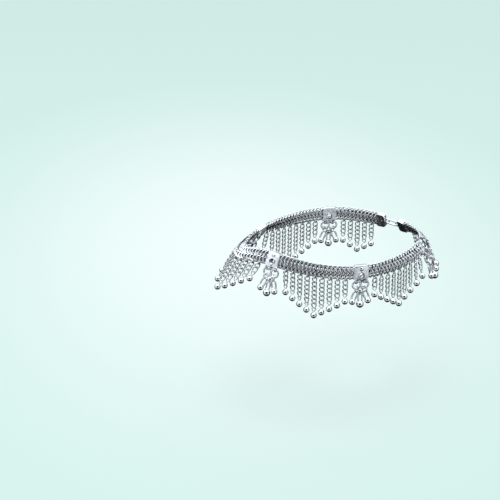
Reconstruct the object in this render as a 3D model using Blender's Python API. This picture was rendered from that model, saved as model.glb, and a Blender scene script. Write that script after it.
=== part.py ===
# Silver payal anklet: a woven ribbon worn round the ankle, fringed with ball-tipped chain drops and
# five bell clusters.  Sizes below are millimetres; every mesh is scaled to metres when it is made.
# Axes: -X is the instep (toe) side, +X the heel side, -Y the outer side of the ankle, +Z up the leg.
import bpy
import bmesh
import numpy as np

MM = 0.001

# ---- worn loop: the ribbon's top edge, an egg drawn in towards the instep ridge
LOOP_HALF_LENGTH = 45.4
LOOP_HALF_WIDTH = 37.2
LOOP_EGG = 0.178
LOOP_PINCH = -0.378
LOOP_TILT_DEG = -0.4
RIDGE_DIP = 4.4
RIDGE_DIP_WIDTH = 0.8
TOP_EDGE_Z = 3.5

# ---- woven ribbon
BAND_HEIGHT = 7.4
ROW_COUNT = 3
ROW_CREST = 0.9
ROW_LOW_CREST = 0.72
ROW_VALLEY = 0.5
EDGE_FACE = 0.45
BACK_FACE = 0.75
STATION_PITCH = 4.0
RIDGE_STATION_PITCH = 2.4
SIDE_LEAN_DEG = 2.0
RIDGE_LEAN_DEG = 50.0
RIDGE_LEAN_WIDTH = 1.5
HEEL_LEAN_DEG = 42.0
HEEL_LEAN_WIDTH = 1.3

# ---- smooth connector plates on the ribbon, one over each bell cluster and one at each end
PLATE_HALF_LENGTH = 3.7
PLATE_HALF_THICK = 1.15
PLATE_OVERHANG = 0.12
PLATE_SOFT_EDGE = 0.35
PLATE_STEP = 0.15
END_PLATE_LENGTH = 5.0
EYELET_RADIUS = 1.15
EYELET_HEIGHT = 4.7
EYELET_SIDES = 8
PUNCH_REACH = 2.5

# ---- layout along the ribbon's middle line, measured from the instep ridge
PITCH = 3.9
FIRST_CLUSTER_AT = 26.5
PITCHES_PER_BAY = 12
PITCHES_TO_FIRST_DROP = 2
END_GAP = 9.0
SHORT_ROW = (3, 4, 5, 6, 7, 6, 5, 4, 3)
LONG_ROW = (4, 5, 6, 7, 8, 7, 6, 5, 4)
END_ROW = (4, 5, 6, 5, 4)

# ---- chain drops
DROP_GAP = 0.5
LINK_PITCH = 2.35
LINK_HALF_WIDTH = 1.32
LINK_HALF_THICK = 0.68
JOINT_HALF_WIDTH = 0.8
JOINT_HALF_THICK = 0.45
NECK_LENGTH = 0.9
NECK_HALF = 0.42
BALL_RADIUS = 1.6
DROP_LEAN_BASE = 1.0
DROP_LEAN_RIDGE = 30.0
DROP_LEAN_HEEL = 22.0
RIDGE_REACH = 34.0
RIDGE_FADE = 14.0
HEEL_REACH = 30.0
HEEL_FADE = 24.0
TOE_SWING = 0.8
SLOPE_REACH = 2.0

# ---- bell clusters
WIRE = 0.4
LUG_RADIUS = 1.4
LUG_CENTRE = 0.7
RING_RADIUS = 2.05
RING_SPREAD = 2.1
HANG = 0.3
OVAL_HALF_WIDTH = 1.15
OVAL_HALF_LENGTH = 2.2
OVAL_SPREAD = 3.0
OVAL_SPLAY = 0.4
OVAL_DROP = 2.1
YOKE_HALF = 0.47
YOKE_RISE = 0.06
YOKE_OVERHANG = 0.12
STEM_HALF = 0.53
STEM_RISE = 0.2
SIDE_BALL_SPREAD = 4.1
SIDE_BALL_LEVEL = 12.2
SIDE_BALL_RADIUS = 1.6
LOW_BALL_LEVEL = 13.9
LOW_BALL_RADIUS = 1.9
STEM_SINK = 0.9

# ---- clasp: one plain oval link through the two end eyes
EYE_RADIUS = 1.35
EYE_OUT = 0.9
CLASP_WIRE = 0.5
CLASP_HALF_WIDTH = 1.25
CLASP_SLACK = 0.1

SILVER = (0.80, 0.80, 0.82, 1.0)
BRIGHT_SILVER = (0.88, 0.88, 0.89, 1.0)
UP = np.array([0.0, 0.0, 1.0])
FORWARD = np.array([-1.0, 0.0, 0.0])

for old in list(bpy.data.objects):
    bpy.data.objects.remove(old, do_unlink=True)


def silver(name, colour, roughness):
    mat = bpy.data.materials.new(name)
    mat.use_nodes = True
    shader = mat.node_tree.nodes["Principled BSDF"]
    shader.inputs["Base Color"].default_value = colour
    shader.inputs["Metallic"].default_value = 1.0
    shader.inputs["Roughness"].default_value = roughness
    return mat


def unit(v):
    return v / np.linalg.norm(v)


def bump(t, centre, width):
    # one smooth hump, 1 at its centre and 0 beyond its half width
    away = np.abs((t - centre + np.pi) % (2.0 * np.pi) - np.pi)
    return 0.5 * (1.0 + np.cos(np.pi * np.clip(away / width, 0.0, 1.0)))


def ease(x):
    return 0.5 * (1.0 - np.cos(np.pi * np.clip(x, 0.0, 1.0)))


def trace_loop():
    # the top edge, its level tangent, the outward side and the ribbon's leaning down direction
    t = np.linspace(0.0, 2.0 * np.pi, 2881)
    c = np.cos(t)
    s = np.sin(t)
    x = -LOOP_HALF_LENGTH * c
    y = -LOOP_HALF_WIDTH * s * (1.0 - LOOP_EGG * c + LOOP_PINCH * c * c)
    z = TOP_EDGE_Z + x * np.tan(np.radians(LOOP_TILT_DEG)) - RIDGE_DIP * bump(t, 0.0, RIDGE_DIP_WIDTH)
    top = np.stack([x, y, z], axis=1)
    along = np.empty_like(top)
    along[1:-1] = top[2:] - top[:-2]
    along[0] = top[1] - top[-2]
    along[-1] = along[0]
    along[:, 2] = 0.0
    along /= np.linalg.norm(along, axis=1)[:, None]
    out = np.stack([along[:, 1], -along[:, 0], 0.0 * x], axis=1)
    lean = SIDE_LEAN_DEG + RIDGE_LEAN_DEG * bump(t, 0.0, RIDGE_LEAN_WIDTH)
    lean = np.radians(lean + HEEL_LEAN_DEG * bump(t, np.pi, HEEL_LEAN_WIDTH))[:, None]
    down = out * np.sin(lean) - UP * np.cos(lean)
    face = out * np.cos(lean) + UP * np.sin(lean)
    middle = top + down * BAND_HEIGHT / 2.0
    arc = np.concatenate([[0.0], np.cumsum(np.linalg.norm(np.diff(middle, axis=0), axis=1))])
    return arc, (top, along, out, down, face)


ARC, TRACKS = trace_loop()
LOOP = ARC[-1]
BAY = PITCH * PITCHES_PER_BAY
CLUSTERS = [FIRST_CLUSTER_AT + BAY * k for k in (0, 1, 2)]
CLUSTERS += [LOOP + FIRST_CLUSTER_AT - BAY * 2, LOOP + FIRST_CLUSTER_AT - BAY]
CLASP_AT = (CLUSTERS[2] + CLUSTERS[3]) / 2.0


def at(s):
    s = s % LOOP
    top, along, out, down, face = [
        np.array([np.interp(s, ARC, track[:, k]) for k in range(3)]) for track in TRACKS]
    along = unit(along)
    down = unit(down - along * np.dot(along, down))
    return top, along, unit(out), down, unit(np.cross(down, along))


def lower_edge(s):
    top, along, out, down, face = at(s)
    return top + down * BAND_HEIGHT


def hang_frame(s, square=False):
    # where a piece hangs below the ribbon's lower edge: edge point, width axis, hang axis, outward axis
    # a square piece hangs at right angles to the edge; the others swing freely towards the instep
    top, along, out, down, face = at(s)
    edge = lower_edge(s)
    slope = unit(lower_edge(s + SLOPE_REACH) - lower_edge(s - SLOPE_REACH))
    s = s % LOOP
    from_ridge = min(s, LOOP - s)
    from_heel = abs(s - LOOP / 2.0)
    ridge = ease((RIDGE_REACH - from_ridge) / RIDGE_FADE)
    heel = ease((HEEL_REACH - from_heel) / HEEL_FADE)
    lean = np.radians(DROP_LEAN_BASE + DROP_LEAN_RIDGE * ridge + DROP_LEAN_HEEL * heel)
    swing = 0.0 if square else TOE_SWING * ridge
    side = unit(out * (1.0 - swing) + FORWARD * swing)
    hang = side * np.sin(lean) - UP * np.cos(lean)
    if square:
        hang = unit(hang - slope * np.dot(slope, hang))
    wide = unit(slope - hang * np.dot(slope, hang))
    return edge, wide, hang, np.cross(hang, wide)


def add_mesh(name, verts, faces, mat):
    mesh = bpy.data.meshes.new(name)
    mesh.from_pydata([tuple(np.asarray(v) * MM) for v in verts], [], faces)
    bm = bmesh.new()
    bm.from_mesh(mesh)
    bmesh.ops.triangulate(bm, faces=bm.faces)
    bmesh.ops.recalc_face_normals(bm, faces=bm.faces)
    bm.to_mesh(mesh)
    bm.free()
    mesh.materials.append(mat)
    obj = bpy.data.objects.new(name, mesh)
    bpy.context.scene.collection.objects.link(obj)
    return obj


def stitch(rings, close=False):
    # faces between a run of equal rings of points, capped at both ends unless it closes on itself
    count = len(rings[0])
    verts = [p for ring in rings for p in ring]
    faces = []
    spans = len(rings) if close else len(rings) - 1
    for i in range(spans):
        a = i * count
        b = ((i + 1) % len(rings)) * count
        for j in range(count):
            k = (j + 1) % count
            faces.append((a + j, a + k, b + k, b + j))
    if not close:
        faces.append(tuple(range(count)))
        faces.append(tuple(range(len(verts) - 1, len(verts) - 1 - count, -1)))
    return verts, faces


def wire_loop(centre, u, v, half_u, half_v, wire, steps, sides):
    # a closed loop of round wire lying in the plane of u and v
    axis = np.cross(u, v)
    rings = []
    for i in range(steps):
        a = 2.0 * np.pi * (i + 0.5) / steps
        point = centre + u * half_u * np.cos(a) + v * half_v * np.sin(a)
        outward = unit(u * half_v * np.cos(a) + v * half_u * np.sin(a))
        ring = []
        for j in range(sides):
            b = 2.0 * np.pi * (j + 0.5) / sides
            ring.append(point + wire * (outward * np.cos(b) + axis * np.sin(b)))
        rings.append(ring)
    return stitch(rings, close=True)


def ball(centre, u, v, w, radius, segments, bands):
    # a faceted ball with its poles on w
    verts = [centre + w * radius]
    for i in range(1, bands):
        p = np.pi * i / bands
        for j in range(segments):
            a = 2.0 * np.pi * j / segments
            rim = u * np.cos(a) + v * np.sin(a)
            verts.append(centre + radius * (w * np.cos(p) + rim * np.sin(p)))
    verts.append(centre - w * radius)
    faces = []
    last = len(verts) - 1
    for j in range(segments):
        k = (j + 1) % segments
        faces.append((0, 1 + j, 1 + k))
        faces.append((last, last - segments + k, last - segments + j))
        for i in range(bands - 2):
            a = 1 + i * segments
            faces.append((a + j, a + segments + j, a + segments + k, a + k))
    return verts, faces


def bar(a, b, half, side):
    # a square bar from a to b
    axis = unit(b - a)
    u = unit(side - axis * np.dot(side, axis))
    v = np.cross(axis, u)
    corners = [u + v, v - u, -u - v, u - v]
    return stitch([[p + half * c for c in corners] for p in (a, b)])


def combine(target, pieces, operation):
    # union or cut the loose pieces into the target, one exact boolean each
    for index, (verts, faces) in enumerate(pieces):
        tool = add_mesh("{}_tool_{}".format(target.name, index), verts, faces, target.data.materials[0])
        tool.hide_render = True
        tool.display_type = "WIRE"
        mod = target.modifiers.new("step_{}".format(index), "BOOLEAN")
        mod.operation = operation
        mod.solver = "EXACT"
        mod.object = tool
        bpy.ops.object.select_all(action="DESELECT")
        bpy.context.view_layer.objects.active = target
        target.select_set(True)
        bpy.ops.object.modifier_apply(modifier=mod.name)
        bpy.data.objects.remove(tool, do_unlink=True)


def ribbon_section(s, index, plate):
    # woven rows bulge by turns from one station to the next; a plate is a smooth slab over the rows
    top, along, out, down, face = at(s)
    profile = []
    if plate:
        profile.append((-PLATE_OVERHANG, PLATE_HALF_THICK - PLATE_SOFT_EDGE))
        for row in range(ROW_COUNT * 2 - 1):
            profile.append((BAND_HEIGHT * (row + 1) / (ROW_COUNT * 2), PLATE_HALF_THICK))
        profile.append((BAND_HEIGHT + PLATE_OVERHANG, PLATE_HALF_THICK - PLATE_SOFT_EDGE))
        profile.append((BAND_HEIGHT + PLATE_OVERHANG, -PLATE_HALF_THICK))
        profile.append((-PLATE_OVERHANG, -PLATE_HALF_THICK))
    else:
        profile.append((0.0, EDGE_FACE))
        for row in range(ROW_COUNT * 2 - 1):
            crest = row % 2 == 0
            high = (index + row // 2) % 2 == 0
            reach = ROW_VALLEY if not crest else (ROW_CREST if high else ROW_LOW_CREST)
            profile.append((BAND_HEIGHT * (row + 1) / (ROW_COUNT * 2), reach))
        profile.append((BAND_HEIGHT, EDGE_FACE))
        profile.append((BAND_HEIGHT, -BACK_FACE))
        profile.append((0.0, -BACK_FACE))
    return [top + down * h + face * n for h, n in profile]


def ribbon_stations():
    # stations from one end eye round to the other, finer over the ridge, doubled at plate edges
    start = CLASP_AT - LOOP + END_GAP / 2.0
    stop = CLASP_AT - END_GAP / 2.0
    plates = [(start, start + END_PLATE_LENGTH), (stop - END_PLATE_LENGTH, stop)]
    for s in CLUSTERS:
        middle = s - LOOP if s > CLASP_AT else s
        plates.append((middle - PLATE_HALF_LENGTH, middle + PLATE_HALF_LENGTH))
    plates.sort()
    stations = []
    for i, (a, b) in enumerate(plates):
        stations += [(a + (b - a) * k / 2, True) for k in range(3)]
        if i + 1 < len(plates):
            low = b + PLATE_STEP
            high = plates[i + 1][0] - PLATE_STEP
            pitch = RIDGE_STATION_PITCH if low < 0.0 < high else STATION_PITCH
            count = max(2, int(round((high - low) / pitch)))
            stations += [(low + (high - low) * k / count, False) for k in range(count + 1)]
    return stations, start, stop


def clasp_frame():
    top, along, out, down, face = at(CLASP_AT)
    return top + down * BAND_HEIGHT / 2.0, along, down, face


def make_band():
    stations, start, stop = ribbon_stations()
    rings = [ribbon_section(s, i, plate) for i, (s, plate) in enumerate(stations)]
    verts, faces = stitch(rings)
    band = add_mesh("band", verts, faces, silver("woven_silver", SILVER, 0.32))
    extras = []
    for s in CLUSTERS:
        edge, wide, hang, outward = hang_frame(s, square=True)
        for side in (-1.0, 1.0):
            lug = edge + hang * LUG_CENTRE + wide * side * RING_SPREAD
            extras.append(wire_loop(lug, hang, outward, LUG_RADIUS, LUG_RADIUS, WIRE, 8, 3))
    centre, along, down, face = clasp_frame()
    for side in (-1.0, 1.0):
        eye = centre + along * side * (END_GAP / 2.0 - EYE_OUT)
        extras.append(wire_loop(eye, along, down, EYE_RADIUS, EYE_RADIUS, WIRE, 10, 4))
    combine(band, extras, "UNION")
    holes = []
    for s in CLUSTERS:
        top, along, out, down, face = at(s)
        middle = top + down * EYELET_HEIGHT
        rings = []
        for n in (-PUNCH_REACH, PUNCH_REACH):
            ring = []
            for j in range(EYELET_SIDES):
                a = 2.0 * np.pi * j / EYELET_SIDES
                rim = along * np.cos(a) + down * np.sin(a)
                ring.append(middle + face * n + rim * EYELET_RADIUS)
            rings.append(ring)
        holes.append(stitch(rings))
    combine(band, holes, "DIFFERENCE")
    return band


def make_clasp():
    # one plain oval link, edge on to the leg, through both end eyes
    centre, along, down, face = clasp_frame()
    reach = END_GAP / 2.0 - EYE_OUT + CLASP_SLACK
    path = []
    for side in (1.0, -1.0):
        for k in range(5):
            a = np.pi * (k / 4.0 - 0.5)
            u = side * (reach - CLASP_HALF_WIDTH + CLASP_HALF_WIDTH * np.cos(a))
            v = side * CLASP_HALF_WIDTH * np.sin(a)
            path.append((u, v, side * np.cos(a), side * np.sin(a)))
    rings = []
    for u, v, nu, nv in path:
        ring = []
        for j in range(5):
            b = 2.0 * np.pi * (j + 0.5) / 5
            push = (along * nu + face * nv) * np.cos(b) + down * np.sin(b)
            ring.append(centre + along * u + face * v + push * CLASP_WIRE)
        rings.append(ring)
    verts, faces = stitch(rings, close=True)
    return add_mesh("clasp", verts, faces, silver("clasp_silver", BRIGHT_SILVER, 0.22))


def make_drop(name, s, links):
    # curb chain as a flat bar pinched at every link joint, a short neck and a polished ball
    edge, wide, hang, outward = hang_frame(s)
    rows = []
    for k in range(links):
        rows.append((LINK_PITCH * k, JOINT_HALF_WIDTH, JOINT_HALF_THICK))
        rows.append((LINK_PITCH * (k + 0.5), LINK_HALF_WIDTH, LINK_HALF_THICK))
    length = LINK_PITCH * links
    rows.append((length, NECK_HALF, NECK_HALF))
    rings = []
    for down, half_w, half_t in rows:
        point = edge + hang * (DROP_GAP + down)
        signs = ((1, 1), (-1, 1), (-1, -1), (1, -1))
        rings.append([point + wide * half_w * a + outward * half_t * b for a, b in signs])
    verts, faces = stitch(rings)
    faces.pop()
    neck = len(verts) - 4
    middle = edge + hang * (DROP_GAP + length + NECK_LENGTH + BALL_RADIUS * 0.8)
    first = len(verts)
    for p in (1.0 / 3.0, 2.0 / 3.0):
        for j in range(8):
            a = 2.0 * np.pi * j / 8
            rim = wide * np.cos(a) + outward * np.sin(a)
            lift = -hang * np.cos(np.pi * p)
            verts.append(middle + BALL_RADIUS * (lift + rim * np.sin(np.pi * p)))
    verts.append(middle + hang * BALL_RADIUS)
    pole = len(verts) - 1
    for j in range(4):
        a = neck + j
        b = neck + (j + 1) % 4
        r0 = first + (2 * j + 1) % 8
        r1 = first + (2 * j + 2) % 8
        r2 = first + (2 * j + 3) % 8
        faces += [(a, r0, r1), (a, r1, b), (b, r1, r2)]
    for j in range(8):
        k = (j + 1) % 8
        faces.append((first + j, first + k, first + 8 + k, first + 8 + j))
        faces.append((first + 8 + j, first + 8 + k, pole))
    return add_mesh(name, verts, faces, silver(name + "_silver", BRIGHT_SILVER, 0.24))


def make_cluster_rings(number, s):
    # two rings soldered side by side, each through one of the ribbon's lugs
    edge, wide, hang, outward = hang_frame(s, square=True)
    level = edge + hang * (LUG_CENTRE + HANG + RING_RADIUS)
    pair = [wire_loop(level + wide * side * RING_SPREAD, wide, hang, RING_RADIUS, RING_RADIUS, WIRE, 10, 4)
            for side in (-1.0, 1.0)]
    name = "cluster_rings_{}".format(number)
    obj = add_mesh(name, pair[0][0], pair[0][1], silver(name + "_silver", BRIGHT_SILVER, 0.24))
    combine(obj, pair[1:], "UNION")
    return obj


def make_bell_bunch(number, s):
    # two top loops on a soldered yoke, two oval links that splay apart, and three polished balls
    edge, wide, hang, outward = hang_frame(s, square=True)
    loop_at = LUG_CENTRE + HANG + RING_RADIUS * 2.0 + HANG

    def place(w, h):
        return edge + wide * w + hang * h

    pieces = []
    for side in (-1.0, 1.0):
        top = place(side * RING_SPREAD, loop_at)
        pieces.append(wire_loop(top, hang, outward, LUG_RADIUS, LUG_RADIUS, WIRE, 8, 3))
    foot = loop_at + LUG_RADIUS
    reach = RING_SPREAD + YOKE_OVERHANG
    yoke = foot - YOKE_RISE
    pieces.append(bar(place(-reach, yoke), place(reach, yoke), YOKE_HALF, hang))
    for side in (-1.0, 1.0):
        drawn = unit(hang + wide * side * OVAL_SPLAY)
        across = np.cross(outward, drawn)
        oval = place(side * OVAL_SPREAD, foot + OVAL_DROP)
        pieces.append(wire_loop(oval, across, drawn, OVAL_HALF_WIDTH, OVAL_HALF_LENGTH, WIRE, 8, 3))
        lower = place(side * SIDE_BALL_SPREAD, SIDE_BALL_LEVEL)
        pieces.append(ball(lower, wide, outward, hang, SIDE_BALL_RADIUS, 6, 4))
    stem_ends = place(0.0, foot - STEM_RISE), place(0.0, LOW_BALL_LEVEL - STEM_SINK)
    pieces.append(bar(*stem_ends, STEM_HALF, wide))
    name = "bell_bunch_{}".format(number)
    low_ball = place(0.0, LOW_BALL_LEVEL)
    verts, faces = ball(low_ball, wide, outward, hang, LOW_BALL_RADIUS, 8, 4)
    obj = add_mesh(name, verts, faces, silver(name + "_silver", BRIGHT_SILVER, 0.22))
    # stem, yoke, the two top loops, the two ovals, the two side balls
    order = (7, 2, 0, 1, 3, 5, 4, 6)
    combine(obj, [pieces[k] for k in order], "UNION")
    return obj


def drop_layout():
    # four full bays of drops between clusters; the clasp's bay keeps a short row on each side
    bays = [(CLUSTERS[0], LONG_ROW), (CLUSTERS[1], SHORT_ROW)]
    bays += [(CLUSTERS[3], LONG_ROW), (CLUSTERS[4], SHORT_ROW)]
    layout = []
    for start, row in bays:
        layout += [(start + PITCH * (k + PITCHES_TO_FIRST_DROP), n) for k, n in enumerate(row)]
    for k, n in enumerate(END_ROW):
        layout.append((CLUSTERS[2] + PITCH * (k + PITCHES_TO_FIRST_DROP), n))
        layout.append((CLUSTERS[3] - PITCH * (k + PITCHES_TO_FIRST_DROP), n))
    layout.sort()
    return layout


make_band()
make_clasp()
for index, (place_at, count) in enumerate(drop_layout(), start=1):
    make_drop("chain_drop_{:02d}".format(index), place_at, count)
for index, place_at in enumerate(CLUSTERS, start=1):
    make_cluster_rings(index, place_at)
    make_bell_bunch(index, place_at)
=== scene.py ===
import bpy
import bmesh
import numpy as np
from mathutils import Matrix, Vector, noise
from mathutils.bvhtree import BVHTree


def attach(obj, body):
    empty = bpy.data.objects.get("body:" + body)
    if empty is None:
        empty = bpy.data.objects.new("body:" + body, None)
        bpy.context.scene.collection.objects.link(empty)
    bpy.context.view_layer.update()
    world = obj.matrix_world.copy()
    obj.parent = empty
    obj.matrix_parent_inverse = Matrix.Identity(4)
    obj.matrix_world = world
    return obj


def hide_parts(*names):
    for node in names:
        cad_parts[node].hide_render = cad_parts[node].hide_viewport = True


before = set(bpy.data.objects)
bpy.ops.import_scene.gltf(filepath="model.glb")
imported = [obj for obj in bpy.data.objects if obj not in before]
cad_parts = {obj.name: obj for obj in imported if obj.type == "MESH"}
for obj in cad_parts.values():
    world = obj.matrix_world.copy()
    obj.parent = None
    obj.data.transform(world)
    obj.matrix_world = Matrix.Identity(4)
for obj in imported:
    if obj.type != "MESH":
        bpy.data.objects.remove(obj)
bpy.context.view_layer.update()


# ======================================================================================
# Woven ribbon. Three rows of fine silver rings are linked through one another, leaning left
# and right by turns, and rolled flat into one supple ribbon; short bars are soldered along
# its top edge. It goes round the ankle as an egg that is drawn in at the instep, and leans
# outwards over the instep and the heel.
# ======================================================================================
MM = 0.001
BAND_HEIGHT = 7.4
HALF_LENGTH = 45.4
HALF_WIDTH = 37.2
EGG = 0.178
PINCH = -0.378
TILT_DEG = -0.4
RIDGE_DIP = 4.4
RIDGE_DIP_WIDTH = 0.8
TOP_EDGE_Z = 3.5
SIDE_LEAN_DEG = 2.0
RIDGE_LEAN_DEG = 50.0
RIDGE_LEAN_WIDTH = 1.5
HEEL_LEAN_DEG = 42.0
HEEL_LEAN_WIDTH = 1.3
UP = np.array([0.0, 0.0, 1.0])

PITCH = 3.9
PITCHES_PER_BAY = 12
FIRST_CLUSTER = 26.5
END_GAP = 9.0

ROWS = 3
ROW_STEP = 1.68
RING_PITCH = 2.1
RING_HALF_HEIGHT = 1.45
RING_HALF_LONGER = 0.25
RING_WIRE = 0.57
RING_FLAT = 0.68
RING_LEAN_DEG = 31.0
RING_UNEVEN_DEG = 5.0
ROLLED = 0.85
BAR_PITCH = 2.6
BAR_LENGTH = 2.35
BAR_RADIUS = 0.5
BAR_HEIGHT = 0.12
BAR_PROUD = 0.42
PLATE_HALF = 3.7
PLATE_LAP = 0.9

BRIGHT = (0.86, 0.87, 0.885, 1.0)
CLOUDED = (0.66, 0.665, 0.67, 1.0)
# painted shade: the near-black colour laid into crevices and the eyelet hole where metal is shut in by
# metal
PAINTED_CREVICE_SHADE = (0.055, 0.058, 0.066, 1.0)
CLOUD_SCALE = 310.0
CLOUD_IN_CREVICES = 0.22
FILM_FROM = 0.52
FILM_TO = 0.78
FILM_DULLNESS = 0.07
GRAIN_SCALE = 3400.0
GRAIN_DEPTH = 0.00002


def unit(v):
    return v / np.linalg.norm(v)


def hump(t, centre, width):
    # a smooth rise to 1 at the centre angle, 0 beyond width
    away = np.abs((t - centre + np.pi) % (2.0 * np.pi) - np.pi)
    return 0.5 * (1.0 + np.cos(np.pi * np.clip(away / width, 0.0, 1.0)))


def ease(x):
    return 0.5 * (1.0 - np.cos(np.pi * np.clip(x, 0.0, 1.0)))


def trace_ribbon():
    # the top edge, its level direction, the outward direction and the way down the ribbon
    t = np.linspace(0.0, 2.0 * np.pi, 2881)
    c = np.cos(t)
    x = -HALF_LENGTH * c
    y = -HALF_WIDTH * np.sin(t) * (1.0 - EGG * c + PINCH * c * c)
    z = TOP_EDGE_Z + x * np.tan(np.radians(TILT_DEG)) - RIDGE_DIP * hump(t, 0.0, RIDGE_DIP_WIDTH)
    top = np.stack([x, y, z], axis=1)
    along = np.empty_like(top)
    along[1:-1] = top[2:] - top[:-2]
    along[0] = top[1] - top[-2]
    along[-1] = along[0]
    along[:, 2] = 0.0
    along /= np.linalg.norm(along, axis=1)[:, None]
    out = np.stack([along[:, 1], -along[:, 0], 0.0 * x], axis=1)
    lean = SIDE_LEAN_DEG + RIDGE_LEAN_DEG * hump(t, 0.0, RIDGE_LEAN_WIDTH)
    lean = np.radians(lean + HEEL_LEAN_DEG * hump(t, np.pi, HEEL_LEAN_WIDTH))[:, None]
    down = out * np.sin(lean) - UP * np.cos(lean)
    middle = top + down * BAND_HEIGHT / 2.0
    arc = np.concatenate([[0.0], np.cumsum(np.linalg.norm(np.diff(middle, axis=0), axis=1))])
    return arc, (top, along, out, down)


ARC, TRACKS = trace_ribbon()
LOOP = ARC[-1]
BAY = PITCHES_PER_BAY * PITCH
CLUSTERS = [FIRST_CLUSTER + BAY * k for k in (0, 1, 2)]
CLUSTERS += [LOOP + FIRST_CLUSTER - BAY * k for k in (2, 1)]
CLASP_AT = (CLUSTERS[2] + CLUSTERS[3]) / 2.0
RIBBON_START = CLASP_AT - LOOP + END_GAP / 2.0
RIBBON_STOP = CLASP_AT - END_GAP / 2.0


def at(s):
    # the same four tracks at a distance s from the ridge, and the way the ribbon's face looks
    s = s % LOOP
    top, along, out, down = [
        np.array([np.interp(s, ARC, track[:, k]) for k in range(3)]) for track in TRACKS]
    along = unit(along)
    down = unit(down - along * np.dot(along, down))
    return top, along, unit(out), down, unit(np.cross(down, along))


def on_ribbon(s, h, n=0.0):
    # a point h below the top edge and n outwards from the ribbon's middle
    top, along, out, down, face = at(s)
    return top + down * h + face * n


def select_none():
    if bpy.context.object and bpy.context.object.mode != "OBJECT":
        bpy.ops.object.mode_set(mode="OBJECT")
    bpy.ops.object.select_all(action="DESELECT")


def shape_of(obj):
    # a finished pattern as plain arrays of points, faces and normals; the pattern is cleared away
    mesh = obj.data
    points = np.array([v.co[:] for v in mesh.vertices])
    normals = np.array([v.normal[:] for v in mesh.vertices])
    faces = [tuple(p.vertices) for p in mesh.polygons]
    bpy.data.objects.remove(obj, do_unlink=True)
    bpy.data.meshes.remove(mesh)
    return {"points": points, "normals": normals, "faces": faces, "shut_in": np.zeros(len(points))}


def pull(link, side, distance):
    # moves the half of a pattern that lies on one side of x = 0 along X
    bpy.ops.object.mode_set(mode="EDIT")
    bpy.ops.mesh.select_all(action="DESELECT")
    bm = bmesh.from_edit_mesh(link.data)
    for v in bm.verts:
        v.select_set(v.co.x * side > 1e-6)
    bm.select_flush(True)
    bmesh.update_edit_mesh(link.data)
    bpy.ops.transform.translate(value=(distance * side, 0.0, 0.0))
    bpy.ops.object.mode_set(mode="OBJECT")


def wire_link(half_straight, half_width, wire, steps, sides, twist_deg=0.0, flat=1.0):
    # a ring of wire lying flat, pressed to a share of its thickness, drawn out along X and wrung
    # about X
    select_none()
    bpy.ops.mesh.primitive_torus_add(major_segments=steps, minor_segments=sides,
                                     major_radius=half_width, minor_radius=wire)
    link = bpy.context.object
    if flat < 1.0:
        bpy.ops.object.mode_set(mode="EDIT")
        bpy.ops.mesh.select_all(action="SELECT")
        bpy.ops.transform.resize(value=(1.0, 1.0, flat))
        bpy.ops.object.mode_set(mode="OBJECT")
    if half_straight > 0.0:
        pull(link, 1.0, half_straight)
        pull(link, -1.0, half_straight)
    if twist_deg:
        wring = link.modifiers.new("wring", "SIMPLE_DEFORM")
        wring.deform_method = "TWIST"
        wring.deform_axis = "X"
        wring.angle = np.radians(twist_deg)
        bpy.ops.object.modifier_apply(modifier=wring.name)
    return shape_of(link)


def shade_crevices(shape, neighbours, reach=1.1, rays=90, lift=0.02, grazing=0.08):
    # how much of the sky over each point is shut off by metal closer than reach; a neighbour is
    # the same shape, given by its place and its three axes. Rays start a little off the metal,
    # and those that only graze it are left out. The share is the mask of the painted shade that
    # darkens the crevices
    points = [shape["points"]] + [shape["points"] @ axes + place for place, axes in neighbours]
    count = len(shape["points"])
    faces = [tuple(i + k * count for i in f) for k in range(len(points)) for f in shape["faces"]]
    tree = BVHTree.FromPolygons([Vector(p) for p in np.concatenate(points)], faces)
    k = np.arange(rays) + 0.5
    level = 1.0 - 2.0 * k / rays
    turn = np.pi * (1.0 + 5.0 ** 0.5) * k
    ring = np.sqrt(1.0 - level * level)
    sky = np.stack([ring * np.cos(turn), ring * np.sin(turn), level], axis=1)
    shut = []
    for point, normal in zip(shape["points"], shape["normals"]):
        start = Vector(point + normal * lift)
        hits = 0.0
        total = 0.0
        for direction, share in zip(sky, sky @ normal):
            if share > grazing:
                total += share
                if tree.ray_cast(start, Vector(direction), reach)[0] is not None:
                    hits += share
        shut.append(hits / total)
    return dict(shape, shut_in=np.array(shut))


def put(shape, origin, x_axis, y_axis, z_axis):
    # a shape with its place and the directions that its own X, Y and Z take there
    return shape, origin, np.stack([x_axis, y_axis, z_axis])


def join_shapes(name, places, material):
    # all the placed shapes as one mesh in metres
    points = []
    faces = []
    shut = []
    count = 0
    for shape, origin, axes in places:
        points.append(origin + shape["points"] @ axes)
        faces += [tuple(i + count for i in face) for face in shape["faces"]]
        shut.append(shape["shut_in"])
        count += len(shape["points"])
    mesh = bpy.data.meshes.new(name)
    mesh.from_pydata([tuple(p) for p in np.concatenate(points) * MM], [], faces)
    mesh.attributes.new("shut_in", "FLOAT", "POINT").data.foreach_set("value", np.concatenate(shut))
    mesh.materials.append(material)
    mesh.shade_smooth()
    obj = bpy.data.objects.new(name, mesh)
    bpy.context.scene.collection.objects.link(obj)
    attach(obj, "root")
    return obj


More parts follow.
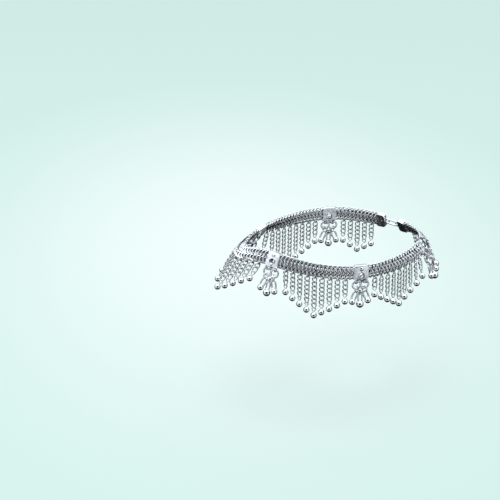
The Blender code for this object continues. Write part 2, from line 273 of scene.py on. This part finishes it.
class Flow:
    """A shader value that takes part in ordinary sums."""

    def __init__(self, tree, socket):
        self.tree = tree
        self.socket = socket

    def node(self, kind, settings, output=0, **values):
        # a socket is given by its name, or as i and its number
        made = self.tree.nodes.new(kind)
        for key, value in settings.items():
            setattr(made, key, value)
        for key, value in values.items():
            socket = made.inputs[int(key[1:]) if key[1:].isdigit() else key]
            if isinstance(value, Flow):
                self.tree.links.new(value.socket, socket)
            else:
                socket.default_value = value
        return Flow(self.tree, made.outputs[output])

    def sum_of(self, operation, first, second):
        return self.node("ShaderNodeMath", {"operation": operation}, i0=first, i1=second)

    def __add__(self, other):
        return self.sum_of("ADD", self, other)

    def __radd__(self, other):
        return self.sum_of("ADD", other, self)

    def __sub__(self, other):
        return self.sum_of("SUBTRACT", self, other)

    def __rsub__(self, other):
        return self.sum_of("SUBTRACT", other, self)

    def __mul__(self, other):
        return self.sum_of("MULTIPLY", self, other)

    def __rmul__(self, other):
        return self.sum_of("MULTIPLY", other, self)

    def rise(self, low, high):
        # 0 below low, 1 above high and smooth between
        return self.node("ShaderNodeMapRange", {"interpolation_type": "SMOOTHSTEP"},
                         i0=self, i1=low, i2=high)

    def blend(self, colour_low, colour_high):
        return self.node("ShaderNodeMix", {"data_type": "RGBA"}, output=2,
                         i0=self, i6=colour_low, i7=colour_high)

    def into(self, shader, name):
        self.tree.links.new(self.socket, shader.inputs[name])


def silver(name, polish, dullest, dark_from, dark_to, brushed):
    # bright silver that clouds a little and takes painted shade where metal is shut in by metal: it
    # darkens and goes from polish to dullest as the shut-in share goes from dark_from to dark_to
    mat = bpy.data.materials.new(name)
    mat.use_nodes = True
    tree = mat.node_tree
    shader = tree.nodes["Principled BSDF"]
    shader.inputs["Metallic"].default_value = 1.0
    place = Flow(tree, tree.nodes.new("ShaderNodeTexCoord").outputs["Object"])
    shut = place.node("ShaderNodeAttribute", {"attribute_name": "shut_in"}, output=2)
    cloud = place.node("ShaderNodeTexNoise", {},
                       Vector=place, Scale=CLOUD_SCALE, Detail=4.0, Roughness=0.6)
    grain = place.node("ShaderNodeTexNoise", {},
                       Vector=place, Scale=GRAIN_SCALE, Detail=2.0, Roughness=0.5)
    # painted shade in the crevices, driven by the shut-in share
    depth = (shut + (cloud - 0.5) * CLOUD_IN_CREVICES).rise(dark_from, dark_to)
    film = cloud.rise(FILM_FROM, FILM_TO)
    depth.blend(film.blend(BRIGHT, CLOUDED), PAINTED_CREVICE_SHADE).into(shader, "Base Color")
    (polish + film * FILM_DULLNESS + depth * (dullest - polish)).into(shader, "Roughness")
    bump = place.node("ShaderNodeBump", {}, Strength=brushed, Distance=GRAIN_DEPTH, Height=grain)
    bump.into(shader, "Normal")
    return mat


def ring_axes(row, unevenness=0.0):
    # the three axes of a ring of this row on the flat ribbon: along it, down it and inwards
    lean = np.radians((-1) ** row * RING_LEAN_DEG + unevenness)
    return np.array([[np.cos(lean), 0.0, np.sin(lean)],
                     [0.0, 1.0, 0.0],
                     [-np.sin(lean), 0.0, np.cos(lean)]])


def ring_neighbours(row):
    # the rings round one ring of this row, seen from that ring
    own = ring_axes(row)
    found = []
    for other in range(ROWS):
        for k in (-2, -1, 0, 1, 2):
            if other != row or k != 0:
                half_step = 0.5 * ((other - row) % 2)
                shift = np.array([(k + half_step) * RING_PITCH, (other - row) * ROW_STEP, 0.0])
                found.append((shift @ own.T, ring_axes(other) @ own.T))
    return found


def lay(shape, axes, s, h, n=0.0):
    # places a shape of the flat ribbon where it belongs on the loop
    top, along, out, down, face = at(s)
    return put(shape, top + down * h + face * n, *(axes @ np.stack([along, down, -face * ROLLED])))


def clear_of_plates(s):
    return all(abs(s - middle) > PLATE_HALF - PLATE_LAP for middle in PLATE_MIDDLES)


def bar_pattern():
    # a short rounded bar along X
    select_none()
    bpy.ops.mesh.primitive_uv_sphere_add(segments=8, ring_count=6, radius=BAR_RADIUS,
                                         rotation=(0.0, np.pi / 2.0, 0.0))
    bpy.ops.object.transform_apply(location=False, rotation=True, scale=False)
    bar = bpy.context.object
    pull(bar, 1.0, BAR_LENGTH / 2.0 - BAR_RADIUS)
    pull(bar, -1.0, BAR_LENGTH / 2.0 - BAR_RADIUS)
    return shape_of(bar)


WOVEN_SILVER = silver("woven_silver", polish=0.16, dullest=0.5, dark_from=0.2, dark_to=0.65, brushed=0.3)
PLATE_MIDDLES = [s - LOOP if s > RIBBON_STOP else s for s in CLUSTERS]
woven_ring = wire_link(RING_HALF_LONGER, RING_HALF_HEIGHT, RING_WIRE, 12, 6, flat=RING_FLAT)
rings_by_row = [shade_crevices(woven_ring, ring_neighbours(row)) for row in range(ROWS)]
edge_bar = bar_pattern()
unevenness = np.random.default_rng(11)
ring_count = int(round((RIBBON_STOP - RIBBON_START) / RING_PITCH))
ring_step = (RIBBON_STOP - RIBBON_START) / ring_count
weave_places = []
for row in range(ROWS):
    height = BAND_HEIGHT / 2.0 + (row - (ROWS - 1) / 2.0) * ROW_STEP
    for k in range(1, ring_count - 1):
        s = RIBBON_START + ring_step * (k + 0.5 * (row % 2))
        if clear_of_plates(s):
            axes = ring_axes(row, unevenness.normal(0.0, RING_UNEVEN_DEG))
            weave_places.append(lay(rings_by_row[row], axes, s, height))
bar_count = int(round((RIBBON_STOP - RIBBON_START) / BAR_PITCH))
for k in range(1, bar_count - 1):
    s = RIBBON_START + (RIBBON_STOP - RIBBON_START) * (k + 0.5) / bar_count
    if clear_of_plates(s):
        weave_places.append(lay(edge_bar, np.eye(3), s, BAR_HEIGHT, BAR_PROUD))
woven_rows = join_shapes("woven_rows", weave_places, WOVEN_SILVER)
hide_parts("band")


# ======================================================================================
# Connector plates. A smooth cast plate is soldered over the ribbon above each bell cluster
# and a shorter one closes each end. A cluster plate is crowned, with a low boss and an
# eyelet in a raised rim; a wire loop is passed through the eyelet and round its lower edge.
# ======================================================================================
END_PLATE_HALF = 2.5
PLATE_HALF_THICK = 1.15
PLATE_OVERHANG = 0.12
PLATE_CROWN = 0.3
PLATE_CORNER = 1.1
PLATE_CUTS = 13
CUTS_ASIDE = 0.003
PLATE_UNEVEN = 0.1
PLATE_EDGE = 0.28
EYELET = 1.45
EYELET_HEIGHT = 4.6
RIM_WIRE = 0.3
BOSS = 1.15
BOSS_RISE = 0.5
BOSS_HEIGHT = 1.55
LOOP_RADIUS = 1.4
LOOP_WIRE = 0.36
LOOP_HOLD = 0.55
LOOP_PROUD = 0.3

PLATE_SILVER = silver("plate_silver", polish=0.2, dullest=0.5, dark_from=0.5, dark_to=0.9, brushed=0.35)


def plate_pattern(half_length, eyelet):
    # made flat: X along the ribbon, Y up it, Z outwards. The cuts are a hair off an even split, so
    # that none meets a corner of the punch
    select_none()
    half_height = BAND_HEIGHT / 2.0 + PLATE_OVERHANG
    bpy.ops.mesh.primitive_cube_add(size=2.0)
    plate = bpy.context.object
    plate.scale = (half_length, half_height, PLATE_HALF_THICK)
    bpy.ops.object.transform_apply(location=False, rotation=False, scale=True)
    bpy.ops.object.mode_set(mode="EDIT")
    bpy.ops.mesh.select_mode(type="EDGE")
    bpy.ops.mesh.select_all(action="DESELECT")
    bm = bmesh.from_edit_mesh(plate.data)
    for e in bm.edges:
        e.select_set(abs(e.verts[0].co.z - e.verts[1].co.z) > PLATE_HALF_THICK)
    bmesh.update_edit_mesh(plate.data)
    bpy.ops.mesh.bevel(offset=PLATE_CORNER, segments=5, profile=0.5)
    for k in range(1, PLATE_CUTS):
        share = 2.0 * k / PLATE_CUTS - 1.0 + CUTS_ASIDE
        for middle, normal in (((half_length * share, 0.0, 0.0), (1.0, 0.0, 0.0)),
                               ((0.0, half_height * share, 0.0), (0.0, 1.0, 0.0))):
            bpy.ops.mesh.select_all(action="SELECT")
            bpy.ops.mesh.bisect(plane_co=middle, plane_no=normal)
    bpy.ops.object.mode_set(mode="OBJECT")
    for v in plate.data.vertices:
        if v.co.z > 0.0:
            across = 1.0 - (v.co.y / half_height) ** 2
            v.co.z += PLATE_CROWN * (1.0 - (v.co.x / half_length) ** 2) * across
        v.co.z += PLATE_UNEVEN * noise.noise(v.co * 0.8)
    if eyelet:
        bpy.ops.mesh.primitive_cylinder_add(vertices=28, radius=EYELET, depth=6.0,
                                            location=(0.0, BAND_HEIGHT / 2.0 - EYELET_HEIGHT, 0.0))
        punch = bpy.context.object
        hole = plate.modifiers.new("hole", "BOOLEAN")
        hole.operation = "DIFFERENCE"
        hole.solver = "EXACT"
        hole.object = punch
        select_none()
        bpy.context.view_layer.objects.active = plate
        plate.select_set(True)
        bpy.ops.object.modifier_apply(modifier=hole.name)
        bpy.data.objects.remove(punch, do_unlink=True)
    soft = plate.modifiers.new("soft", "BEVEL")
    soft.width = PLATE_EDGE
    soft.segments = 3
    soft.limit_method = "ANGLE"
    soft.angle_limit = np.radians(50.0)
    bpy.ops.object.modifier_apply(modifier=soft.name)
    pattern = shape_of(plate)
    # the wall of the eyelet hole gets the full shut-in share: painted shade inside the hole
    down_hole = np.hypot(pattern["points"][:, 0],
                         pattern["points"][:, 1] + EYELET_HEIGHT - BAND_HEIGHT / 2.0)
    in_hole = (down_hole < EYELET + 0.02) & (np.abs(pattern["points"][:, 2]) < PLATE_HALF_THICK)
    return dict(pattern, shut_in=np.where(in_hole & eyelet, 1.0, 0.0))


def wrapped(pattern, s_middle):
    # a flat plate laid round the ribbon, in its true place
    points = [on_ribbon(s_middle + x, BAND_HEIGHT / 2.0 - y, z) for x, y, z in pattern["points"]]
    return put(dict(pattern, points=np.array(points)), np.zeros(3), *np.eye(3))


def dome_pattern(radius, height):
    # a flattened ball
    select_none()
    bpy.ops.mesh.primitive_uv_sphere_add(segments=20, ring_count=12, radius=radius)
    bpy.ops.object.mode_set(mode="EDIT")
    bpy.ops.mesh.select_all(action="SELECT")
    bpy.ops.transform.resize(value=(1.0, 1.0, height / radius))
    bpy.ops.object.mode_set(mode="OBJECT")
    return shape_of(bpy.context.object)


def smooth_to(obj, angle_deg):
    select_none()
    obj.select_set(True)
    bpy.context.view_layer.objects.active = obj
    bpy.ops.object.shade_smooth_by_angle(angle=np.radians(angle_deg))


cluster_plate = plate_pattern(PLATE_HALF, True)
end_plate = plate_pattern(END_PLATE_HALF, False)
eyelet_rim = wire_link(0.0, EYELET + 0.1, RIM_WIRE, 28, 8)
boss = dome_pattern(BOSS, BOSS_RISE)
eyelet_loop = wire_link(0.0, LOOP_RADIUS, LOOP_WIRE, 28, 10)
loop_level = EYELET_HEIGHT + EYELET + LOOP_RADIUS - LOOP_HOLD
for number, s in enumerate(CLUSTERS, start=1):
    top, along, out, down, face = at(s)
    flat_on = (along, down, np.cross(along, down))
    places = [wrapped(cluster_plate, s)]
    for level in (PLATE_HALF_THICK + PLATE_CROWN * 0.8, -PLATE_HALF_THICK):
        places.append(put(eyelet_rim, on_ribbon(s, EYELET_HEIGHT, level), *flat_on))
    boss_middle = on_ribbon(s, BOSS_HEIGHT, PLATE_HALF_THICK + PLATE_CROWN * 0.7)
    places.append(put(boss, boss_middle, *flat_on))
    places.append(put(eyelet_loop, on_ribbon(s, loop_level, LOOP_PROUD), down, face, np.cross(down, face)))
    plate = join_shapes("cluster_plate_{}".format(number), places, PLATE_SILVER)
    smooth_to(plate, 40.0)
for number, s in enumerate((RIBBON_START + END_PLATE_HALF, RIBBON_STOP - END_PLATE_HALF), start=1):
    places = [wrapped(end_plate, s)]
    plate = join_shapes("end_plate_{}".format(number), places, PLATE_SILVER)
    smooth_to(plate, 40.0)


# ======================================================================================
# Clasp. Each end plate carries a round wire eye; one plain oval link of heavier wire, edge
# on to the leg, passes through both eyes and closes the loop.
# ======================================================================================
EYE_RADIUS = 1.35
EYE_WIRE = 0.4
EYE_OUT = 0.9
CLASP_HALF_WIDTH = 1.25
CLASP_WIRE = 0.5
CLASP_SLACK = 0.1

CLASP_SILVER = silver("clasp_silver", polish=0.14, dullest=0.4, dark_from=0.5, dark_to=0.9, brushed=0.3)
top, along, out, down, face = at(CLASP_AT)
clasp_middle = top + down * BAND_HEIGHT / 2.0
end_eye = wire_link(0.0, EYE_RADIUS, EYE_WIRE, 28, 10)
eyes = [put(end_eye, clasp_middle + along * side * (END_GAP / 2.0 - EYE_OUT), along, down,
            np.cross(along, down)) for side in (-1.0, 1.0)]
join_shapes("end_eyes", eyes, PLATE_SILVER)
clasp_reach = END_GAP / 2.0 - EYE_OUT + CLASP_SLACK
clasp_link = wire_link(clasp_reach - CLASP_HALF_WIDTH, CLASP_HALF_WIDTH, CLASP_WIRE, 32, 12)
places = [put(clasp_link, clasp_middle, along, face, np.cross(along, face))]
clasp = join_shapes("oval_clasp", places, CLASP_SILVER)
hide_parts("clasp")


# ======================================================================================
# Chain drops. Each is a length of curb chain hung in the ribbon's lower edge by a small
# jump ring; its last link is drawn to a point and holds a polished ball by a short neck.
# ======================================================================================
LINK_PITCH = 2.35
LINK_HALF_WIDTH = 1.13
LINK_WIRE = 0.37
LINK_TWIST_DEG = 80.0
DROP_GAP = 0.5
LAST_LINK_RADIUS = 0.95
LAST_LINK_WIRE = 0.32
LAST_LINK_LONGER = 0.3
POINT_STEPS = ((0.3, 0.72, 0.12), (0.7, 0.5, 0.28))
JUMP_RING = 0.8
JUMP_RING_WIRE = 0.28
JUMP_RING_DROP = 0.15
BALL_EYE = 0.5
BALL_EYE_WIRE = 0.22
BALL_EYE_DROP = 0.35
NECK_LENGTH = 0.9
NECK_STEPS = ((0.86, 0.92, 0.10), (0.93, 0.8, 0.22))
BALL_RADIUS = 1.6
BALL_SEAT = 0.8
SHORT_ROW = (3, 4, 5, 6, 7, 6, 5, 4, 3)
LONG_ROW = (4, 5, 6, 7, 8, 7, 6, 5, 4)
END_ROW = (4, 5, 6, 5, 4)
PITCHES_TO_FIRST_DROP = 2
TOES = np.array([-1.0, 0.0, 0.0])
SLOPE_REACH = 2.0
RIDGE_REACH = 34.0
RIDGE_FADE = 14.0
HEEL_REACH = 30.0
HEEL_FADE = 24.0
DROP_LEAN_BASE = 1.0
DROP_LEAN_RIDGE = 30.0
DROP_LEAN_HEEL = 22.0
TOE_SWING = 0.8
CHAIN_TURN_DEG = 16.0
RIDGE_TURN_DEG = 30.0
RIDGE_TURN_FADE = 20.0

CHAIN_SILVER = silver("chain_silver", polish=0.14, dullest=0.45, dark_from=0.2, dark_to=0.65, brushed=0.25)


def lower_edge(s):
    return on_ribbon(s, BAND_HEIGHT)


def hang_frame(s, square=False):
    # edge point, width, hanging direction and outward direction of what hangs at s; a square
    # piece hangs at right angles to the edge, the others swing freely towards the toes
    out = at(s)[2]
    slope = unit(lower_edge(s + SLOPE_REACH) - lower_edge(s - SLOPE_REACH))
    s = s % LOOP
    ridge = ease((RIDGE_REACH - min(s, LOOP - s)) / RIDGE_FADE)
    heel = ease((HEEL_REACH - abs(s - LOOP / 2.0)) / HEEL_FADE)
    lean = np.radians(DROP_LEAN_BASE + DROP_LEAN_RIDGE * ridge + DROP_LEAN_HEEL * heel)
    swing = 0.0 if square else TOE_SWING * ridge
    side = unit(out * (1.0 - swing) + TOES * swing)
    hang = side * np.sin(lean) - UP * np.cos(lean)
    if square:
        hang = unit(hang - slope * np.dot(slope, hang))
    wide = unit(slope - hang * np.dot(slope, hang))
    return lower_edge(s), wide, hang, np.cross(hang, wide)


def drop_places():
    # four full bays of drops between clusters; the clasp's bay keeps a short row on each side
    rows = [(CLUSTERS[0], 1.0, LONG_ROW), (CLUSTERS[1], 1.0, SHORT_ROW), (CLUSTERS[3], 1.0, LONG_ROW),
            (CLUSTERS[4], 1.0, SHORT_ROW), (CLUSTERS[2], 1.0, END_ROW), (CLUSTERS[3], -1.0, END_ROW)]
    places = []
    for start, way, row in rows:
        for k, links in enumerate(row):
            places.append((start + way * PITCH * (k + PITCHES_TO_FIRST_DROP), links))
    return sorted(places)


def pointed_link():
    # an open link whose lower end, at +X, is drawn in to a point: what lies beyond each level is
    # narrowed and moved on
    select_none()
    bpy.ops.mesh.primitive_torus_add(major_segments=16, minor_segments=8,
                                     major_radius=LAST_LINK_RADIUS, minor_radius=LAST_LINK_WIRE)
    link = bpy.context.object
    pull(link, -1.0, LAST_LINK_LONGER)
    bpy.ops.object.mode_set(mode="EDIT")
    for beyond, narrow, move in POINT_STEPS:
        bpy.ops.mesh.select_all(action="DESELECT")
        bm = bmesh.from_edit_mesh(link.data)
        for v in bm.verts:
            v.select_set(v.co.x > beyond)
        bm.select_flush(True)
        bmesh.update_edit_mesh(link.data)
        bpy.ops.transform.resize(value=(1.0, narrow, 1.0), center_override=(0.0, 0.0, 0.0))
        bpy.ops.transform.translate(value=(move, 0.0, 0.0))
    bpy.ops.object.mode_set(mode="OBJECT")
    return shape_of(link)


def ball_pattern(radius, segments, rings):
    # a polished ball; its top is drawn up into a short neck. The hanging direction is -Z
    select_none()
    bpy.ops.mesh.primitive_uv_sphere_add(segments=segments, ring_count=rings, radius=radius)
    ball = bpy.context.object
    bpy.ops.object.mode_set(mode="EDIT")
    for above, narrow, move in NECK_STEPS:
        bpy.ops.mesh.select_all(action="DESELECT")
        bm = bmesh.from_edit_mesh(ball.data)
        for v in bm.verts:
            v.select_set(v.co.z > above * radius)
        bm.select_flush(True)
        bmesh.update_edit_mesh(ball.data)
        bpy.ops.transform.resize(value=(narrow, narrow, 1.0))
        bpy.ops.transform.translate(value=(0.0, 0.0, move))
    bpy.ops.object.mode_set(mode="OBJECT")
    return shape_of(ball)


link_half_length = (LINK_PITCH + 2.0 * LINK_WIRE) / 2.0
curb_link = wire_link(link_half_length - LINK_HALF_WIDTH, LINK_HALF_WIDTH, LINK_WIRE, 16, 5,
                      LINK_TWIST_DEG)
next_links = [(np.array([k * LINK_PITCH, 0.0, 0.0]), np.eye(3)) for k in (-2, -1, 1, 2)]
curb_link = shade_crevices(curb_link, next_links)
last_link = pointed_link()
jump_ring = wire_link(0.0, JUMP_RING, JUMP_RING_WIRE, 14, 6)
ball_eye = wire_link(0.0, BALL_EYE, BALL_EYE_WIRE, 12, 6)
drop_ball = ball_pattern(BALL_RADIUS, 20, 16)
turns = np.random.default_rng(7)
for number, (s, links) in enumerate(drop_places(), start=1):
    edge, wide, hang, outward = hang_frame(s)
    places = [put(jump_ring, edge + hang * JUMP_RING_DROP, hang, outward, np.cross(hang, outward))]
    past_ridge = (s + LOOP / 2.0) % LOOP - LOOP / 2.0
    ridge_turn = -RIDGE_TURN_DEG * np.sign(past_ridge)
    ridge_turn *= ease((RIDGE_REACH - abs(past_ridge)) / RIDGE_TURN_FADE)
    start_turn, end_turn = np.radians(ridge_turn + turns.uniform(-CHAIN_TURN_DEG, CHAIN_TURN_DEG, 2))
    for k in range(links):
        turn = start_turn + (end_turn - start_turn) * k / max(links - 1, 1)
        across = wide * np.cos(turn) + outward * np.sin(turn)
        middle = edge + hang * (DROP_GAP + LINK_PITCH * (k + 0.5))
        link = last_link if k == links - 1 else curb_link
        places.append(put(link, middle, hang, across, np.cross(hang, across)))
    foot = DROP_GAP + LINK_PITCH * links
    through = np.cross(hang, across)
    eye_middle = edge + hang * (foot + BALL_EYE_DROP)
    places.append(put(ball_eye, eye_middle, hang, through, np.cross(hang, through)))
    middle = edge + hang * (foot + NECK_LENGTH + BALL_SEAT * BALL_RADIUS)
    places.append(put(drop_ball, middle, wide, -outward, -hang))
    drop = join_shapes("drop_{:02d}".format(number), places, CHAIN_SILVER)
    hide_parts("chain_drop_{:02d}".format(number))


# ======================================================================================
# Bell clusters. Under each plate two soldered rings hang in wire lugs on the ribbon's edge.
# They carry a bunch: two top loops on a solid hub, splayed oval links and three polished balls.
# ======================================================================================
LUG_RADIUS = 1.4
LUG_WIRE = 0.45
LUG_TURN_DEG = 42.0
LUG_CENTRE = 0.7
HANG = 0.3
RING_RADIUS = 2.05
PAIR_WIRE = 0.5
RING_SPREAD = 2.1
OVAL_HALF_STRAIGHT = 1.05
OVAL_HALF_WIDTH = 1.15
OVAL_WIRE = 0.48
OVAL_SPREAD = 3.0
OVAL_SPLAY = 0.4
OVAL_DROP = 2.1
SIDE_BELL_SPREAD = 4.1
SIDE_BELL_LEVEL = 12.2
SIDE_BELL_RADIUS = 1.6
LOW_BELL_LEVEL = 13.9
LOW_BELL_RADIUS = 1.9
HUB_RADIUS = 1.45
HUB_RISE = 1.05
HUB_LIFT = 0.1
STEM_HALF_STRAIGHT = 0.9
STEM_HALF_WIDTH = 1.0
STEM_WIRE = 0.44
STEM_LINK_DROP = 3.3

RING_SILVER = silver("ring_silver", polish=0.12, dullest=0.4, dark_from=0.5, dark_to=0.9, brushed=0.25)
BELL_SILVER = silver("bell_silver", polish=0.1, dullest=0.4, dark_from=0.45, dark_to=0.9, brushed=0.2)
lug_ring = wire_link(0.0, LUG_RADIUS, LUG_WIRE, 24, 8)
cluster_ring = wire_link(0.0, RING_RADIUS, PAIR_WIRE, 32, 10)
oval_link = wire_link(OVAL_HALF_STRAIGHT, OVAL_HALF_WIDTH, OVAL_WIRE, 24, 8)
stem_link = wire_link(STEM_HALF_STRAIGHT, STEM_HALF_WIDTH, STEM_WIRE, 24, 8)
side_bell = ball_pattern(SIDE_BELL_RADIUS, 24, 18)
low_bell = ball_pattern(LOW_BELL_RADIUS, 24, 18)
hub = dome_pattern(HUB_RADIUS, HUB_RISE)
for number, s in enumerate(CLUSTERS, start=1):
    edge, wide, hang, outward = hang_frame(s, square=True)
    flat = (hang, wide, np.cross(hang, wide))
    turned = {}
    splayed = {}
    for side in (-1.0, 1.0):
        aside = unit(outward + wide * side * np.tan(np.radians(LUG_TURN_DEG)))
        turned[side] = (hang, aside, np.cross(hang, aside))
        drawn = unit(hang + wide * side * OVAL_SPLAY)
        splayed[side] = (drawn, np.cross(outward, drawn), outward)
    lugs = [put(lug_ring, edge + hang * LUG_CENTRE + wide * side * RING_SPREAD, *turned[side])
            for side in (-1.0, 1.0)]
    join_shapes("lugs_{}".format(number), lugs, PLATE_SILVER)
    ring_level = LUG_CENTRE + HANG + RING_RADIUS
    pair = [put(cluster_ring, edge + hang * ring_level + wide * side * RING_SPREAD, *flat)
            for side in (-1.0, 1.0)]
    rings = join_shapes("ring_pair_{}".format(number), pair, RING_SILVER)
    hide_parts("cluster_rings_{}".format(number))
    loop_level = ring_level + RING_RADIUS + HANG
    foot = loop_level + LUG_RADIUS
    places = []
    for side in (-1.0, 1.0):
        places.append(put(lug_ring, edge + hang * loop_level + wide * side * RING_SPREAD, *turned[side]))
        oval_middle = edge + hang * (foot + OVAL_DROP) + wide * side * OVAL_SPREAD
        places.append(put(oval_link, oval_middle, *splayed[side]))
        bell_middle = edge + hang * SIDE_BELL_LEVEL + wide * side * SIDE_BELL_SPREAD
        places.append(put(side_bell, bell_middle, wide, -outward, -hang))
    places.append(put(hub, edge + hang * (foot - HUB_LIFT), wide, -hang, outward))
    places.append(put(stem_link, edge + hang * (foot + STEM_LINK_DROP), *flat))
    places.append(put(low_bell, edge + hang * LOW_BELL_LEVEL, wide, -outward, -hang))
    bunch = join_shapes("bells_{}".format(number), places, BELL_SILVER)
    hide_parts("bell_bunch_{}".format(number))


# ======================================================================================
# Studio. A pale mint floor well below the hanging loop under a soft pool of light, painted
# paler round a middle point as a painted pool of light besides the lamp's own, a tent of light
# for the silver to mirror, and a camera a little above the ankle on its outer side.
# ======================================================================================
FLOOR_Z = -0.092
MINT = (0.64, 0.82, 0.765, 1.0)
PAINTED_POOL_PALE = (0.86, 0.945, 0.92, 1.0)
PAINTED_POOL_SPREAD = (4.0, 2.6, 0.0)
PAINTED_POOL_MIDDLE = (-0.12, 0.52, 0.0)
AZIMUTH_DEG = -8.1
ELEVATION_DEG = 24.3
DISTANCE = 0.8
FOCAL_LENGTH = 110.2
FRAME_RIGHT = -0.04274
FRAME_ABOVE = -0.0053
LAMP_PLACE = (-0.2, -0.3, 1.4)
LAMP_AIM = (-0.03, 0.1, 0.0)
LAMP_SIZE = 1.0
LAMP_POWER = 5.0
SURROUND = 0.92
ROUND_CAMERA = (0.64, 0.9)
FAR_SIDE = (-0.4, 0.2)
FAR_SIDE_TOP = (0.1, 0.4)
FAR_SIDE_DARK = 0.9
WALL_RISE = (-0.75, -0.25)
WALL_LIGHT = 0.9
ROOF_RISE = (0.12, 0.55)
ROOF_LIGHT = 0.75
LEAST_LIGHT = 0.012
ROOM_TINT = (0.95, 0.98, 1.0, 1.0)
TENT_TINT = (0.87, 0.94, 1.0, 1.0)

select_none()
bpy.ops.mesh.primitive_plane_add(size=8.0, location=(0.0, 0.0, FLOOR_Z))
floor = bpy.context.object
floor.name = "studio_floor"
paint = bpy.data.materials.new("studio_floor")
paint.use_nodes = True
floor_shader = paint.node_tree.nodes["Principled BSDF"]
floor_shader.inputs["Roughness"].default_value = 1.0
floor_shader.inputs["Specular IOR Level"].default_value = 0.0
# painted pool of light: the floor's colour goes from near white round a middle point out to mint
spot = Flow(paint.node_tree, paint.node_tree.nodes.new("ShaderNodeTexCoord").outputs["Object"])
spread = spot.node("ShaderNodeVectorMath", {"operation": "MULTIPLY"}, i0=spot, i1=PAINTED_POOL_SPREAD)
offset = spot.node("ShaderNodeVectorMath", {"operation": "SUBTRACT"}, i0=spread, i1=PAINTED_POOL_MIDDLE)
away = spot.node("ShaderNodeVectorMath", {"operation": "LENGTH"}, output=1, i0=offset)
away.rise(0.0, 1.0).blend(PAINTED_POOL_PALE, MINT).into(floor_shader, "Base Color")
floor.data.materials.append(paint)
floor.visible_glossy = False

azimuth = np.radians(AZIMUTH_DEG)
elevation = np.radians(ELEVATION_DEG)
back = Vector((np.sin(azimuth) * np.cos(elevation),
               -np.cos(azimuth) * np.cos(elevation),
               np.sin(elevation)))
right = Vector((np.cos(azimuth), np.sin(azimuth), 0.0))
above = back.cross(right)
target = right * FRAME_RIGHT + above * FRAME_ABOVE
eye = back * DISTANCE
camera_data = bpy.data.cameras.new("camera")
camera_data.lens = FOCAL_LENGTH
camera = bpy.data.objects.new("camera", camera_data)
camera.location = eye
camera.rotation_euler = (target - eye).to_track_quat("-Z", "Y").to_euler()
bpy.context.scene.collection.objects.link(camera)
bpy.context.scene.camera = camera


def soft_box(name, place, aim, size, power):
    lamp = bpy.data.lights.new(name, "AREA")
    lamp.shape = "DISK"
    lamp.size = size
    lamp.energy = power
    holder = bpy.data.objects.new(name, lamp)
    holder.location = place
    holder.rotation_euler = (Vector(aim) - Vector(place)).to_track_quat("-Z", "Y").to_euler()
    bpy.context.scene.collection.objects.link(holder)


soft_box("pool_of_light", LAMP_PLACE, LAMP_AIM, LAMP_SIZE, LAMP_POWER)

# what the silver mirrors: a tent of even light, brighter overhead, open and dark round the
# camera and low down behind; what the camera sees past the floor is the floor's own mint
world = bpy.data.worlds.new("studio")
bpy.context.scene.world = world
world.use_nodes = True
sky = world.node_tree
surround = sky.nodes["Background"]
look = Flow(sky, sky.nodes.new("ShaderNodeTexCoord").outputs["Generated"])
seen = look.node("ShaderNodeLightPath", {}, output=0)
mirrored = Flow(sky, seen.socket.node.outputs["Is Glossy Ray"])
towards = look.node("ShaderNodeVectorMath", {"operation": "DOT_PRODUCT"}, output=1, i0=look, i1=tuple(back))
height = look.node("ShaderNodeSeparateXYZ", {}, output=2, i0=look)
rear = (1.0 - towards.rise(*FAR_SIDE)) * (1.0 - height.rise(*FAR_SIDE_TOP))
tent = (1.0 - towards.rise(*ROUND_CAMERA)) * (1.0 - FAR_SIDE_DARK * rear)
lit = WALL_LIGHT * height.rise(*WALL_RISE) + ROOF_LIGHT * height.rise(*ROOF_RISE)
tent = tent * lit + LEAST_LIGHT
(mirrored * (tent - SURROUND) + SURROUND + seen * (1.0 - SURROUND)).into(surround, "Strength")
cool = mirrored.blend(ROOM_TINT, TENT_TINT)
seen.blend(cool, MINT).into(surround, "Color")
bpy.context.scene.view_settings.view_transform = "Standard"
